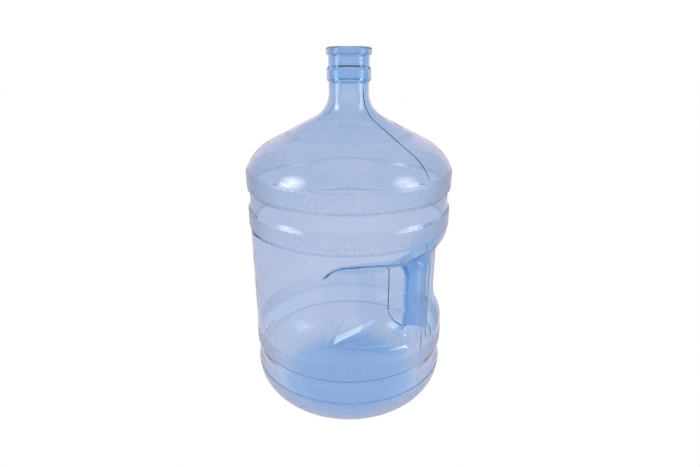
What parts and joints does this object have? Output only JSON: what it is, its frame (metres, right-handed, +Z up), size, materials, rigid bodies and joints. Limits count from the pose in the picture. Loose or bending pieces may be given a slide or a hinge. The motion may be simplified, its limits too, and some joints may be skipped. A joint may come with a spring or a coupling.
{
  "type": "water cooler jug",
  "caption": "Clear blue five-gallon water jug with a narrow collared neck, domed shoulder, stippled scuff bands and a hollow side handle moulded into a hand recess.",
  "frame": {"origin": "centre of the base, on the plane that the jug stands on", "axes": "+Z up along the neck, +X towards the middle of the handle"},
  "size_m": [0.2712, 0.2712, 0.483],
  "materials": {
    "clear_polycarbonate": "clear light-blue polycarbonate, glossy, 1.4 mm wall",
    "stippled_polycarbonate": "the same polycarbonate with a fine moulded stipple on its outside",
    "thick_polycarbonate": "the same polycarbonate where it is thicker and looks deeper blue"
  },
  "bodies": {
    "root": {"pouring_lip": "thick_polycarbonate", "cap_seat": "thick_polycarbonate", "neck_collar": "thick_polycarbonate", "neck_tube": "thick_polycarbonate", "shoulder_dome": "clear_polycarbonate", "upper_band": "stippled_polycarbonate", "waist_groove": "clear_polycarbonate", "middle_band": "stippled_polycarbonate", "body_wall": "clear_polycarbonate", "handle_recess": "clear_polycarbonate", "handle_grip": "thick_polycarbonate", "lower_band": "stippled_polycarbonate", "base_groove": "clear_polycarbonate", "base_heel": "stippled_polycarbonate", "standing_ring": "thick_polycarbonate", "base_push_up": "thick_polycarbonate"}
  },
  "joints": []
}
